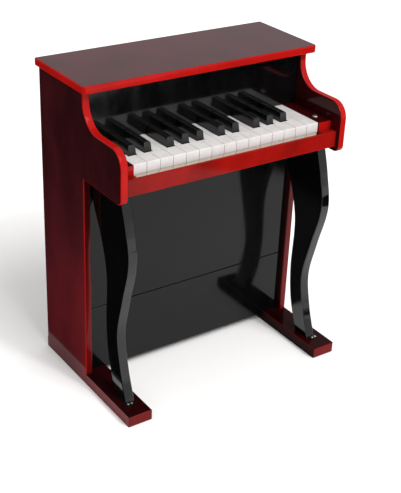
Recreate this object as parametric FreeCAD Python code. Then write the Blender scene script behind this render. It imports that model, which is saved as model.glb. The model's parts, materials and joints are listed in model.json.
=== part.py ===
import FreeCAD, Part
import math
import os

# Child's spinet piano with 25 keys, each striking a steel chime rod through its own hammer.
# Millimetres. X runs from bass to treble, Y from the player to the back, Z up.
# The origin is the middle of the footprint, on the floor.

# Overall sizes
overall_height = 501.0       # floor to lid top
column_depth = 132.0         # upright part of a side panel, front to back
foot_reach = 132.0           # foot rails ahead of the column
upper_case_height = 129.0    # underside of the key bed to underside of the lid

# Boards
side_thickness = 12.0
lid_thickness = 12.0
lid_side_overhang = 6.5
lid_front_overhang = 15.6
lid_corner_radius = 6.0      # the two front corners
edge_radius = 2.0            # rounded edge of every lacquered board
foot_height = 18.0
foot_width = 41.0
bed_thickness = 9.0
panel_thickness = 9.0
back_thickness = 4.0
back_inset = 2.0             # back panel's face ahead of the side panels' rear edges
cleat = 12.0                 # section of the square battens

# Arms of the side panels
arm_reach = 105.5            # nose ahead of the column
arm_drop = 4.0               # arm underside below the key bed
arm_rise = 75.5              # arm top above the key bed's underside
throat_radius = 40.0
shoulder_radius = 26.0
chin_radius = 10.0

# Legs, as (share of the leg's height, distance ahead of the column)
leg_thickness = 16.0
leg_inset = 2.0              # from the side panel's inner face
leg_edge_radius = 1.5
leg_front = [(1.0, 79.0), (0.88, 91.5), (0.71, 102.0), (0.5, 84.5), (0.31, 70.5), (0.14, 81.0), (0.0, 98.0)]
leg_back = [(0.0, 66.0), (0.15, 47.5), (0.32, 39.5), (0.58, 40.0), (0.74, 25.0), (0.88, 2.0), (1.0, -6.0)]

# Panels between the sides
name_board_setback = 4.5     # face behind the column's front edge
lower_panel_setback = 9.0
kick_board_height = 111.8    # above the foot rails
kick_board_drop = 3.2        # below the top of the foot rails, between them
board_joint = 1.0            # open line between knee board and kick board

# Keyboard
key_count = 25               # starts on C
white_pitch = 22.0
whites_per_octave = 7
notes = ["c", "c_sharp", "d", "d_sharp", "e", "f", "f_sharp", "g", "g_sharp", "a", "a_sharp", "b"]
bass_block_width = 21.0
treble_block_width = 25.0
key_gap = 0.6                # between neighbouring white keys
key_setback = 15.5           # white front behind the slip's face
key_lift = 12.0              # stick underside above the key bed
stick_height = 20.0
cap_thickness = 2.5
cap_lip = 14.8               # height of a white cap's front
stick_recess = 1.0           # white stick's front behind its cap's front
tail_gap = 1.6               # between neighbouring sticks behind the black keys' fronts
tail_shift = 2.2             # tails and black keys towards the bass from even spacing
black_width = 13.6           # at the white keys' level and below
black_top_width = 11.0       # before its chamfers
black_rise = 14.0            # above the white keys
black_setback = 31.0         # black front behind the white front
black_slope = 2.0            # lean of a black key's front
black_chamfer = 1.6
slot_side_gap = 0.7          # black cap to white cap, sideways
slot_front_gap = 1.8         # black cap to white cap, ahead of it
board_gap = 1.5              # white key tops to the name board
key_dip = 6.3                # travel of a white key's front
pivot_setback = 15.5         # key rod behind the name board's face
pivot_rise = 5.0             # key rod above the sticks' underside
rod_radius = 1.5
rod_clearance = 0.05
rail_gap = 0.6               # balance rail to sticks
felt_gap = 0.5               # pressed key to front felt
rest_gap = 0.3               # resting key to rest felt
rest_felt_thickness = 2.7

# Key slip
slip_setback = 7.0           # slip face behind the arms' noses
slip_thickness = 13.0
slip_height = 25.5
slip_bottom_rise = 4.5       # above the key bed's underside
slip_lip = 3.5               # slip thickness left in front of the keys
slip_rebate_depth = 14.0
block_rise = 0.5             # key blocks above the white keys
block_setback = 13.5         # block front behind the slip's face
block_tail = 10.0            # block end behind the key rod

# Chimes
sound_board_thickness = 7.0
sound_board_height = 100.0
chime_bar_size = 14.0
chime_radius = 1.5
chime_depth = 10.0           # rod held inside the bar
chime_end_gap = 6.0          # name board to the longest rod's free end
strike_setback = 19.0        # hammer ahead of the bar's face
hammer_shank_radius = 2.2
hammer_head_radius = 4.0
hammer_shank = 7.0
hammer_head = 4.0
strike_gap = 0.6             # hammer of a fully pressed key to its rod

# Fasteners
screw_radius = 1.75
screw_head_radius = 3.5
screw_head_height = 1.6
block_screw_head_radius = 4.6
screw_length = 20.0
dowel_radius = 3.0
dowel_length = 18.0

# Places worked out from the sizes above
semitone = whites_per_octave * white_pitch / len(notes)
tail_width = semitone - tail_gap
white_notes = [i for i in range(key_count) if "sharp" not in notes[i % len(notes)]]
keyboard_width = len(white_notes) * white_pitch
inner_width = bass_block_width + keyboard_width + treble_block_width
x_in = inner_width / 2
x_out = x_in + side_thickness
x_keys = -x_in + bass_block_width

y_back = (column_depth + foot_reach) / 2
y_column = y_back - column_depth
y_nose = y_column - arm_reach
y_slip = y_nose + slip_setback
y_key = y_slip + key_setback
y_black = y_key + black_setback
y_name = y_column + name_board_setback
y_panel = y_column + lower_panel_setback
y_pivot = y_name + pivot_setback
y_rear = y_back - back_inset - back_thickness
y_sound = y_rear - sound_board_thickness
y_bar = y_sound - chime_bar_size
y_hammer = y_bar - strike_setback
y_tail = y_hammer + 2 * hammer_head_radius
longest_chime = y_bar - chime_end_gap - y_name - panel_thickness

z_lid = overall_height - lid_thickness
z_bed = z_lid - upper_case_height
z_bed_top = z_bed + bed_thickness
z_stick = z_bed_top + key_lift
z_stick_top = z_stick + stick_height
z_white = z_stick_top + cap_thickness
z_name = z_white + board_gap
z_pivot = z_stick + pivot_rise
z_slip = z_bed + slip_bottom_rise
z_slip_top = z_slip + slip_height
z_joint = foot_height + kick_board_height

press_angle = math.asin(key_dip / (y_pivot - y_key))
z_chime = (z_stick_top + hammer_shank + hammer_head + (y_hammer - y_pivot) * math.sin(press_angle)
           + strike_gap + chime_radius)


def box(x0, x1, y0, y1, z0, z1):
    return Part.makeBox(x1 - x0, y1 - y0, z1 - z0, FreeCAD.Vector(x0, y0, z0))


def rod(radius, start, direction, length):
    return Part.makeCylinder(radius, length, FreeCAD.Vector(*start), FreeCAD.Vector(*direction))


def mirrored(shape):
    return shape.mirror(FreeCAD.Vector(0, 0, 0), FreeCAD.Vector(1, 0, 0))


def cut_all(shape, tools):
    for tool in tools:
        shape = shape.cut(tool)
    return shape


def rounded(shape, radius, wanted):
    """Round the edges that wanted() picks by their middle point and direction."""
    picked = []
    for edge in shape.Edges:
        middle = edge.valueAt((edge.FirstParameter + edge.LastParameter) / 2)
        along = edge.tangentAt((edge.FirstParameter + edge.LastParameter) / 2)
        if wanted(middle, along):
            picked.append(edge)
    return shape.makeFillet(radius, picked)


def flat_screw(tip, direction, length):
    """Countersunk screw: its tip, the way from tip to head, and its whole length."""
    tip = FreeCAD.Vector(*tip)
    way = FreeCAD.Vector(*direction)
    shank = Part.makeCylinder(screw_radius, length - screw_head_height, tip, way)
    cone = Part.makeCone(screw_radius, screw_head_radius, screw_head_height,
                         tip + way * (length - screw_head_height), way)
    return shank.fuse(cone).removeSplitter()


def pan_screw(tip, direction, length, head_radius=screw_head_radius):
    """Round-headed screw: length is the shank's, and the head stands above it."""
    tip = FreeCAD.Vector(*tip)
    way = FreeCAD.Vector(*direction)
    shank = Part.makeCylinder(screw_radius, length, tip, way)
    head = Part.makeCylinder(head_radius, screw_head_height, tip + way * length, way)
    rim = head.Edges[0] if (head.Edges[0].CenterOfMass - tip).dot(way) > length + screw_head_height / 2 \
        else head.Edges[2]
    return shank.fuse(head.makeFillet(screw_head_height / 2, [rim])).removeSplitter()


def spread(start, stop, count):
    """Evenly spaced places from start to stop."""
    return [start + (stop - start) * i / (count - 1) for i in range(count)]


# --- Fasteners, made first so that the boards can be drilled with them ---

x_cleat = x_in - cleat / 2
y_leg_screws = [y_column - 52.0, y_column + 4.0]
y_foot_screws = spread(y_column + 20.0, y_back - 20.0, 3)
leg_centre = x_in - leg_inset - leg_thickness / 2


def both_sides(make):
    """The same piece on the bass side and on the treble side."""
    treble = make()
    return [mirrored(treble), treble]


def foot_screws():
    """Up through the foot rails, three into each side panel and one into each leg."""
    x_side = x_in + side_thickness / 2
    places = [(x_side, y) for y in y_foot_screws] + [(leg_centre, y_column - 82.0)]
    screws = []
    for x, y in places:
        screw = flat_screw((x, y, foot_height + screw_length), (0, 0, -1), foot_height + screw_length - 1.0)
        screws += [mirrored(screw), screw]
    return screws


def leg_screws():
    """Down through the key bed into the legs."""
    screws = []
    for y in y_leg_screws:
        screw = flat_screw((leg_centre, y, z_bed - screw_length), (0, 0, 1), screw_length + bed_thickness)
        screws += [mirrored(screw), screw]
    return screws


def key_block_screws():
    """One round-headed screw down through each key block."""
    depth = z_white + block_rise - z_bed
    middles = [-x_in + bass_block_width / 2, x_in - treble_block_width / 2]
    return [pan_screw((x, y_key + 22.5, z_bed + 2.0), (0, 0, 1), depth - 2.0, block_screw_head_radius)
            for x in middles]


def panel_screws():
    """From behind through the battens into the knee board and the kick board."""
    y_batten_back = y_panel + panel_thickness + cleat
    heights = [foot_height + 25.0, z_joint - 20.0, z_joint + 25.0, z_bed - 30.0]
    screws = []
    for z in heights:
        screw = flat_screw((x_cleat, y_panel + 3.0, z), (0, 1, 0), y_batten_back - y_panel - 3.0)
        screws += [mirrored(screw), screw]
    return screws


def back_panel_screws():
    """Round-headed screws that hold the back panel to its battens and the sound board."""
    heights = spread(foot_height + 30.0, z_bed - 30.0, 3) + [z_bed_top + sound_board_height - 15.0]
    screws = []
    for z in heights:
        screw = pan_screw((x_cleat, y_rear - 6.0, z), (0, 1, 0), back_thickness + 6.0)
        screws += [mirrored(screw), screw]
    return screws


def chime_bar_screws():
    """Through the bar into the sound board, between two rods each."""
    gaps = [2, key_count // 2, key_count - 2]
    reach = chime_bar_size + sound_board_thickness - 1.0
    places = [x_keys + semitone * gap - tail_shift for gap in gaps]
    return [pan_screw((x, y_bar + reach, z_chime), (0, -1, 0), reach) for x in places]


def case_dowels():
    """Blind dowels from the side panels into the key bed and the lid."""
    half = dowel_length / 2
    treble = [rod(dowel_radius, (x_in - half, y, z_bed + bed_thickness / 2), (1, 0, 0), dowel_length)
              for y in spread(y_column - 70.0, y_back - 25.0, 4)]
    treble += [rod(dowel_radius, (x_in + side_thickness / 2, y, z_lid - half), (0, 0, 1), dowel_length)
               for y in spread(y_column + 25.0, y_back - 25.0, 2)]
    return [mirrored(dowel) for dowel in treble] + treble


# --- Case ---

def lid():
    reach = x_out + lid_side_overhang
    board = box(-reach, reach, y_column - lid_front_overhang, y_back, z_lid, overall_height)
    board = rounded(board, lid_corner_radius, lambda at, along: abs(along.z) > 0.9 and at.y < y_column)
    board = rounded(board, edge_radius, lambda at, along: at.y > y_back - 1.0 or abs(along.z) < 0.1)
    return cut_all(board, case_dowels())


def side_outline():
    """Side panel seen from the side: column, ogee throat, rounded shoulder and arm."""
    z_arm = z_bed + arm_rise
    z_under = z_bed - arm_drop
    y_shoulder = y_nose + shoulder_radius
    y_throat = y_column - throat_radius
    half = math.sqrt(0.5)

    def at(y, z):
        return FreeCAD.Vector(x_in, y, z)

    def arc(a, b, c):
        return Part.Arc(at(*a), at(*b), at(*c)).toShape()

    def line(a, b):
        return Part.makeLine(at(*a), at(*b))

    throat = arc((y_column, z_arm + throat_radius),
                 (y_throat + throat_radius * half, z_arm + throat_radius * (1 - half)),
                 (y_throat, z_arm))
    shoulder = arc((y_shoulder, z_arm),
                   (y_shoulder - shoulder_radius * half, z_arm - shoulder_radius * (1 - half)),
                   (y_nose, z_arm - shoulder_radius))
    chin = arc((y_nose, z_under + chin_radius),
               (y_nose + chin_radius * (1 - half), z_under + chin_radius * (1 - half)),
               (y_nose + chin_radius, z_under))
    return Part.Wire([
        line((y_back, foot_height), (y_back, z_lid)),
        line((y_back, z_lid), (y_column, z_lid)),
        line((y_column, z_lid), (y_column, z_arm + throat_radius)),
        throat,
        line((y_throat, z_arm), (y_shoulder, z_arm)),
        shoulder,
        line((y_nose, z_arm - shoulder_radius), (y_nose, z_under + chin_radius)),
        chin,
        line((y_nose + chin_radius, z_under), (y_column, z_under)),
        line((y_column, z_under), (y_column, foot_height)),
        line((y_column, foot_height), (y_back, foot_height))])


def side_panel():
    board = Part.Face(side_outline()).extrude(FreeCAD.Vector(side_thickness, 0, 0))

    def front_edge(at, along):
        on_face = min(abs(at.x - x_in), abs(at.x - x_out)) < 0.01
        between_ends = foot_height + 1.0 < at.z < z_lid - 1.0
        return on_face and between_ends and abs(along.x) < 0.1 and at.y < y_back - 1.0
    return rounded(board, edge_radius, front_edge)


def foot_rail():
    y_front = y_column - foot_reach
    rail = box(x_out - foot_width, x_out, y_front, y_back, 0, foot_height)
    return rounded(rail, edge_radius, lambda at, along: at.y < y_front + 1.0 or
                   (abs(along.y) > 0.9 and at.z > 1.0 and at.x < x_out - 1.0))


def leg():
    height = z_bed - foot_height

    def spline(points):
        curve = Part.BSplineCurve()
        curve.interpolate([FreeCAD.Vector(leg_centre - leg_thickness / 2, y_column - ahead,
                                          foot_height + share * height) for share, ahead in points])
        return curve.toShape()

    front = spline(leg_front)
    back = spline(leg_back)
    ends = [edge.valueAt(edge.LastParameter) for edge in (front, back)]
    starts = [edge.valueAt(edge.FirstParameter) for edge in (front, back)]
    outline = Part.Wire([front, Part.makeLine(ends[0], starts[1]), back, Part.makeLine(ends[1], starts[0])])
    board = Part.Face(outline).extrude(FreeCAD.Vector(leg_thickness, 0, 0))
    return rounded(board, leg_edge_radius, lambda at, along: abs(along.x) < 0.1 and
                   foot_height + 1.0 < at.z < z_bed - 1.0)


def key_bed():
    return box(-x_in, x_in, y_slip + slip_thickness, y_rear, z_bed, z_bed_top)


def key_slip():
    """Front board, rebated behind its top edge so that the keys can go down."""
    board = box(-x_in, x_in, y_slip, y_slip + slip_thickness, z_slip, z_slip_top)
    board = rounded(board, edge_radius / 2, lambda at, along: abs(along.x) > 0.9 and at.y < y_slip + 1.0)
    rebate = box(x_keys - 1.0, x_keys + keyboard_width + 1.0, y_slip + slip_lip, y_slip + slip_thickness,
                 z_slip_top - slip_rebate_depth, z_slip_top)
    return board.cut(rebate)


def key_block(x0, x1):
    """Wooden block beside the keys that also carries an end of the key rod."""
    block = box(x0, x1, y_slip + block_setback, y_pivot + block_tail, z_bed_top, z_white + block_rise)
    return rounded(block, edge_radius / 2, lambda at, along: abs(along.x) > 0.9 and at.z > z_white and
                   at.y < y_key + 1.0)


def name_board():
    return box(-x_in, x_in, y_name, y_name + panel_thickness, z_name, z_lid)


def knee_board():
    return box(-x_in, x_in, y_panel, y_panel + panel_thickness, z_joint + board_joint, z_bed)


def kick_board():
    """Lower board: it stands on both foot rails and hangs a little way down between them."""
    x_rail = x_out - foot_width
    y_behind = y_panel + panel_thickness
    upper = box(-x_in, x_in, y_panel, y_behind, foot_height, z_joint)
    lower = box(-x_rail, x_rail, y_panel, y_behind, foot_height - kick_board_drop, foot_height)
    return upper.fuse(lower).removeSplitter()


def back_panel():
    return box(-x_in, x_in, y_rear, y_rear + back_thickness, foot_height, z_lid)


def panel_cleats():
    """Battens that hold the knee board and the kick board to the side panels."""
    y0 = y_panel + panel_thickness
    return both_sides(lambda: box(x_in - cleat, x_in, y0, y0 + cleat, foot_height, z_bed))


def back_cleats():
    """Battens that hold the back panel to the side panels."""
    return both_sides(lambda: box(x_in - cleat, x_in, y_rear - cleat, y_rear, foot_height, z_bed))


def lid_cleats():
    """Battens under the lid: one along each side panel and one behind the name board."""
    y0 = y_name + panel_thickness
    sides = both_sides(lambda: box(x_in - cleat, x_in, y0 + cleat, y_sound, z_lid - cleat, z_lid))
    return sides + [box(-x_in, x_in, y0, y0 + cleat, z_lid - cleat, z_lid)]


def leg_plates():
    """Small steel plates screwed to the foot rails in front of the legs' toes."""
    y_toe = y_column - leg_front[-1][1]
    plate = both_sides(lambda: box(leg_centre - 4.0, leg_centre + 10.0, y_toe - 8.0, y_toe, foot_height,
                                   foot_height + 1.2))
    heads = []
    for x in (leg_centre, leg_centre + 6.0):
        heads += both_sides(lambda: rod(1.8, (x, y_toe - 4.5, foot_height + 1.2), (0, 0, 1), 1.0))
    return plate + heads


# --- Keys ---

def key_centre(index):
    """Middle of a key's tail: all 25 tails are spaced evenly."""
    return x_keys + (index + 0.5) * semitone - tail_shift


def is_black(index):
    return "sharp" in notes[index % len(notes)]


def hammer(index):
    x = key_centre(index)
    shank = rod(hammer_shank_radius, (x, y_hammer, z_stick_top), (0, 0, 1), hammer_shank)
    head = rod(hammer_head_radius, (x, y_hammer, z_stick_top + hammer_shank), (0, 0, 1), hammer_head)
    head = rounded(head, hammer_head / 4, lambda at, along: abs(along.z) < 0.1)
    return shank.fuse(head).removeSplitter()


def pivot_bore():
    return rod(rod_radius + rod_clearance, (-x_out, y_pivot, z_pivot), (1, 0, 0), 2 * x_out)


def slot(index, top):
    """Space around a black key that its white neighbours leave free."""
    half = black_width / 2 + slot_side_gap
    x = key_centre(index)
    return box(x - half, x + half, y_black - slot_front_gap, y_tail + 1.0, z_stick - 1.0, top)


def white_key(index):
    place = white_notes.index(index)
    x0 = x_keys + place * white_pitch + key_gap / 2
    x1 = x_keys + (place + 1) * white_pitch - key_gap / 2
    y_cap_end = y_name + panel_thickness / 2
    top = box(x0, x1, y_key, y_cap_end, z_stick_top, z_white)
    lip = box(x0, x1, y_key, y_key + cap_thickness, z_white - cap_lip, z_white)
    cap = top.fuse(lip).removeSplitter()
    cap = rounded(cap, cap_thickness / 4, lambda at, along: abs(along.x) > 0.9 and at.y < y_key + 0.1 and
                  at.z > z_white - 0.1)

    tail_x0 = max(key_centre(index) - tail_width / 2, x0)
    tail_x1 = min(key_centre(index) + tail_width / 2, x1)
    front = box(x0, x1, y_key + stick_recess, y_black - slot_front_gap, z_stick, z_stick_top)
    tail = box(tail_x0, tail_x1, y_key + stick_recess, y_tail, z_stick, z_stick_top)
    stick = front.fuse(tail).removeSplitter().cut(cap).cut(pivot_bore())
    for neighbour in (index - 1, index + 1):
        if 0 <= neighbour < key_count and is_black(neighbour):
            cap = cap.cut(slot(neighbour, z_white + 1.0))
    return [cap, stick, hammer(index)]


def black_key(index):
    x = key_centre(index)
    y_end = y_name - 0.8
    z_top = z_white + black_rise

    def level(width, y, z):
        corners = [FreeCAD.Vector(x - width / 2, y, z), FreeCAD.Vector(x + width / 2, y, z),
                   FreeCAD.Vector(x + width / 2, y_end, z), FreeCAD.Vector(x - width / 2, y_end, z)]
        return Part.makePolygon(corners + corners[:1])

    cap = Part.makeLoft([level(black_width, y_black, z_stick_top),
                         level(black_top_width, y_black + black_slope, z_top)], True, True)
    middles = [(edge, edge.CenterOfMass) for edge in cap.Edges]
    top_edges = [edge for edge, at in middles if at.z > z_top - 0.1 and at.y < y_end - 0.1]
    cap = cap.makeChamfer(black_chamfer, top_edges)
    half = tail_width / 2
    stick = box(x - half, x + half, y_black, y_tail, z_stick, z_stick_top).cut(pivot_bore())
    return [cap, stick, hammer(index)]


def key_rod():
    """Steel rod that every key turns on, held at both ends in the key blocks."""
    return rod(rod_radius, (-x_in + 1.0, y_pivot, z_pivot), (1, 0, 0), 2 * x_in - 2.0)


def balance_rail():
    return box(x_keys, x_keys + keyboard_width, y_pivot - 8.0, y_pivot + 8.0, z_bed_top, z_stick - rail_gap)


def front_felt():
    """Strip that stops the white keys from below."""
    return box(x_keys, x_keys + keyboard_width, y_key + 5.0, y_key + 21.0, z_bed_top,
               z_stick - key_dip - felt_gap)


def rest_rail():
    return box(x_keys, x_keys + keyboard_width, y_tail - 12.0, y_tail + 2.0, z_bed_top,
               z_stick - rest_gap - rest_felt_thickness)


def rest_felt():
    """Strip that the key tails rest on."""
    return box(x_keys, x_keys + keyboard_width, y_tail - 12.0, y_tail + 2.0,
               z_stick - rest_gap - rest_felt_thickness, z_stick - rest_gap)


# --- Chimes ---

def sound_board():
    return box(-x_in, x_in, y_sound, y_rear, z_bed_top, z_bed_top + sound_board_height)


def chime_rods():
    """One steel rod to a key, each a semitone shorter in pitch than the last."""
    rods = []
    for index in range(key_count):
        length = longest_chime * 2 ** (-index / (2 * len(notes)))
        rods.append(rod(chime_radius, (key_centre(index), y_bar + chime_depth, z_chime), (0, -1, 0),
                        length + chime_depth))
    return rods


def chime_bar():
    half = chime_bar_size / 2
    bar = box(x_keys - 4.0, x_keys + keyboard_width + 4.0, y_bar, y_sound, z_chime - half, z_chime + half)
    bar = rounded(bar, edge_radius / 2, lambda at, along: abs(along.x) > 0.9 and at.y < y_bar + 1.0)
    return cut_all(bar, chime_rods() + chime_bar_screws())


def build():
    feet = foot_screws()
    legs = leg_screws()
    blocks = key_block_screws()
    panels = panel_screws()
    backs = back_panel_screws()
    bars = chime_bar_screws()
    dowels = case_dowels()
    treble_side = side_panel()
    nodes = {
        "lid": [lid()],
        "bass_side_panel": [cut_all(mirrored(treble_side), dowels + feet)],
        "treble_side_panel": [cut_all(treble_side, dowels + feet)],
        "bass_foot_rail": [cut_all(mirrored(foot_rail()), feet)],
        "treble_foot_rail": [cut_all(foot_rail(), feet)],
        "bass_leg": [cut_all(mirrored(leg()), feet + legs)],
        "treble_leg": [cut_all(leg(), feet + legs)],
        "key_bed": [cut_all(key_bed(), legs + blocks + dowels)],
        "key_slip": [key_slip()],
        "bass_key_block": [cut_all(key_block(-x_in, x_keys), blocks + [pivot_bore()])],
        "treble_key_block": [cut_all(key_block(x_keys + keyboard_width, x_in), blocks + [pivot_bore()])],
        "name_board": [name_board()],
        "knee_board": [cut_all(knee_board(), panels)],
        "kick_board": [cut_all(kick_board(), panels)],
        "back_panel": [cut_all(back_panel(), backs)],
        "panel_cleats": [cut_all(piece, panels) for piece in panel_cleats()],
        "back_cleats": [cut_all(piece, backs) for piece in back_cleats()],
        "lid_cleats": lid_cleats(),
        "leg_plates": leg_plates(),
        "key_rod": [key_rod()],
        "balance_rail": [balance_rail()],
        "front_felt": [front_felt()],
        "rest_rail": [rest_rail()],
        "rest_felt": [rest_felt()],
        "sound_board": [cut_all(sound_board(), bars + backs)],
        "chime_bar": [chime_bar()],
        "chime_rods": chime_rods(),
        "chime_bar_screws": bars,
        "case_dowels": dowels,
        "foot_screws": feet,
        "leg_screws": legs,
        "key_block_screws": blocks,
        "panel_screws": panels,
        "back_panel_screws": backs,
    }
    for index in range(key_count):
        make = black_key if is_black(index) else white_key
        nodes[f"key_{index + 1:02d}_{notes[index % len(notes)]}"] = make(index)
    return nodes


os.makedirs("parts", exist_ok=True)
for name, solids in build().items():
    pieces = [piece for solid in solids for piece in solid.Solids]
    shape = pieces[0] if len(pieces) == 1 else Part.makeCompound(pieces)
    shape.exportStep(f"parts/{name}.step")
    print(f"{name}: {len(pieces)} solid(s), {shape.Volume / 1000:.1f} cm3")
print(f"pressed key angle {math.degrees(press_angle):.2f} degrees")
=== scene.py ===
import json
import math

import bmesh
import bpy
from mathutils import Matrix, Vector


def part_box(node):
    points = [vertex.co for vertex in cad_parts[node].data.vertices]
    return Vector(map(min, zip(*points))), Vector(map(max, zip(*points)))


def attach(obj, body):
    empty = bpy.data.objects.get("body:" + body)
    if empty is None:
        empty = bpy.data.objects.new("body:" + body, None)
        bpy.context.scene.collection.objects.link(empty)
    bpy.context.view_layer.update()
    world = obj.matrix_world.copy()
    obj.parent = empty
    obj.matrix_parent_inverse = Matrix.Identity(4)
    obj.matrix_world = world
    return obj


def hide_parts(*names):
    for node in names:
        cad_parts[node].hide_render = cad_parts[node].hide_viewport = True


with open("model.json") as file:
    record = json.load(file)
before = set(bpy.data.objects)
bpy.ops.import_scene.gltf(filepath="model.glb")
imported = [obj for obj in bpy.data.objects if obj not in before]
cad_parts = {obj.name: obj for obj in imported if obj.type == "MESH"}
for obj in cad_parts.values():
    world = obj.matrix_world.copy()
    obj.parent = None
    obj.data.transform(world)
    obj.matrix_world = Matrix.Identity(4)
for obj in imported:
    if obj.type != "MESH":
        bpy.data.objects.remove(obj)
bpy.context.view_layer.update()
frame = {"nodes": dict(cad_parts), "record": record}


# ---- small tools for edit mode ----

def openPiece(name):
    piece = bpy.context.object
    piece.name = name
    piece.data.name = name
    bpy.ops.object.transform_apply(location=True, rotation=True, scale=True)
    bpy.ops.object.mode_set(mode="EDIT")
    return piece


def startBox(name, low, high):
    bpy.ops.object.select_all(action="DESELECT")
    centre = [(a + b) / 2 for a, b in zip(low, high)]
    size = [b - a for a, b in zip(low, high)]
    bpy.ops.mesh.primitive_cube_add(size=1, location=centre, scale=size)
    return openPiece(name)


def startCylinder(name, radius, bottom, height, sides=32):
    bpy.ops.object.select_all(action="DESELECT")
    centre = (bottom[0], bottom[1], bottom[2] + height / 2)
    bpy.ops.mesh.primitive_cylinder_add(vertices=sides, radius=radius, depth=height, location=centre)
    return openPiece(name)


def pickFaces(piece, wanted):
    bpy.ops.mesh.select_mode(type="FACE")
    bpy.ops.mesh.select_all(action="DESELECT")
    shape = bmesh.from_edit_mesh(piece.data)
    for face in shape.faces:
        face.select_set(wanted(face.calc_center_median(), face.normal))
    bmesh.update_edit_mesh(piece.data)


def pickEdges(piece, wanted, sharperThan=30):
    # only edges between two faces that meet at more than this angle, in degrees
    bpy.ops.mesh.select_mode(type="EDGE")
    bpy.ops.mesh.select_all(action="DESELECT")
    shape = bmesh.from_edit_mesh(piece.data)
    for edge in shape.edges:
        first, last = [vert.co for vert in edge.verts]
        bend = math.degrees(edge.calc_face_angle(0))
        if bend > sharperThan and wanted((first + last) / 2, (last - first).normalized()):
            edge.select_set(True)
    bmesh.update_edit_mesh(piece.data)


def anyEdge(middle, along):
    return True


def extrudeBy(x=0, y=0, z=0):
    bpy.ops.mesh.extrude_region_move(TRANSFORM_OT_translate={"value": (x, y, z)})


def bevelPicked(width, segments=3):
    bpy.ops.mesh.bevel(offset=width, segments=segments, profile=0.5, affect="EDGES", clamp_overlap=True)


def cutAt(x=None, y=None, z=None):
    bpy.ops.mesh.select_all(action="SELECT")
    place = (x or 0, y or 0, z or 0)
    normal = (float(x is not None), float(y is not None), float(z is not None))
    bpy.ops.mesh.bisect(plane_co=place, plane_no=normal)


def tidyFaces():
    # flat neighbours become one face again
    bpy.ops.mesh.select_all(action="SELECT")
    bpy.ops.mesh.dissolve_limited(angle_limit=math.radians(0.5))
    bpy.ops.mesh.select_all(action="SELECT")
    bpy.ops.mesh.normals_make_consistent(inside=False)


def closePiece(piece, smoothUnder=40):
    bpy.ops.object.mode_set(mode="OBJECT")
    bpy.ops.object.select_all(action="DESELECT")
    piece.select_set(True)
    bpy.context.view_layer.objects.active = piece
    bpy.ops.object.shade_smooth_by_angle(angle=math.radians(smoothUnder))
    weighted = piece.modifiers.new("weightedNormals", "WEIGHTED_NORMAL")
    weighted.keep_sharp = True
    bpy.ops.object.modifier_apply(modifier=weighted.name)
    return piece


def joinPieces(pieces, name):
    bpy.ops.object.select_all(action="DESELECT")
    for piece in pieces:
        piece.select_set(True)
    bpy.context.view_layer.objects.active = pieces[0]
    bpy.ops.object.join()
    joined = bpy.context.object
    joined.name = name
    joined.data.name = name
    return joined


def copyPiece(piece, turn, shift):
    twin = piece.copy()
    twin.data = piece.data.copy()
    bpy.context.scene.collection.objects.link(twin)
    twin.data.transform(Matrix.Translation(shift) @ turn)
    return twin


def place(piece, body, slot, *nodes):
    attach(piece, body)
    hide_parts(*nodes)
    return piece


# ---- materials ----

def colour(hexText):
    # sRGB hex to linear red, green, blue, alpha
    values = [int(hexText[i:i + 2], 16) / 255 for i in (1, 3, 5)]
    return [v / 12.92 if v <= 0.04045 else ((v + 0.055) / 1.055) ** 2.4 for v in values] + [1.0]


def addNode(tree, kind, settings=None, inputs=None, stops=None):
    # settings are the node's own properties, inputs are values or sockets to link, stops a ramp's colours
    node = tree.nodes.new(kind)
    for name, value in (settings or {}).items():
        setattr(node, name, value)
    for name, value in (inputs or {}).items():
        if isinstance(value, bpy.types.NodeSocket):
            tree.links.new(value, node.inputs[name])
        else:
            node.inputs[name].default_value = value
    if stops:
        ramp = node.color_ramp
        while len(ramp.elements) < len(stops):
            ramp.elements.new(0.5)
        for element, (position, hexText) in zip(ramp.elements, stops):
            element.position = position
            element.color = colour(hexText)
    return node


def startMaterial(name):
    material = bpy.data.materials.new(name)
    material.use_nodes = True
    tree = material.node_tree
    tree.nodes.clear()
    shader = addNode(tree, "ShaderNodeBsdfPrincipled")
    output = addNode(tree, "ShaderNodeOutputMaterial", inputs={"Surface": shader.outputs["BSDF"]})
    output.location = (300, 0)
    spot = addNode(tree, "ShaderNodeTexCoord").outputs["Object"]
    return material, tree, shader, spot


def setShader(tree, shader, **values):
    # keyword names are the shader's own, joined: baseColor is "Base Color"
    names = {"".join(socket.name.split()).lower(): socket for socket in shader.inputs}
    for key, value in values.items():
        socket = names[key.lower()]
        if isinstance(value, bpy.types.NodeSocket):
            tree.links.new(value, socket)
        else:
            socket.default_value = value


def grain(tree, spot, stretch, size, detail=4.0):
    # noise in metres: size is one blotch, stretch makes it long along the board
    scaled = addNode(tree, "ShaderNodeMapping", inputs={"Vector": spot, "Scale": stretch})
    noise = addNode(tree, "ShaderNodeTexNoise", inputs={
        "Vector": scaled.outputs["Vector"], "Scale": 1 / size, "Detail": detail, "Roughness": 0.55})
    return noise.outputs["Fac"]


def bumpFrom(tree, height, distance, strength=1.0):
    bump = addNode(tree, "ShaderNodeBump", inputs={
        "Height": height, "Distance": distance, "Strength": strength})
    return bump.outputs["Normal"]


redLook = {
    "blotch": 0.07,            # cloudiness of the sprayed stain
    "grainWidth": 0.0035,      # veneer lines under the lacquer, drawn coarser than real pores
    "stainRoughness": 0.42,    # the stained wood under the coat
    "peel": 0.0022,            # orange peel of the sprayed coat
    "peelHeight": 0.000004,
}


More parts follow.
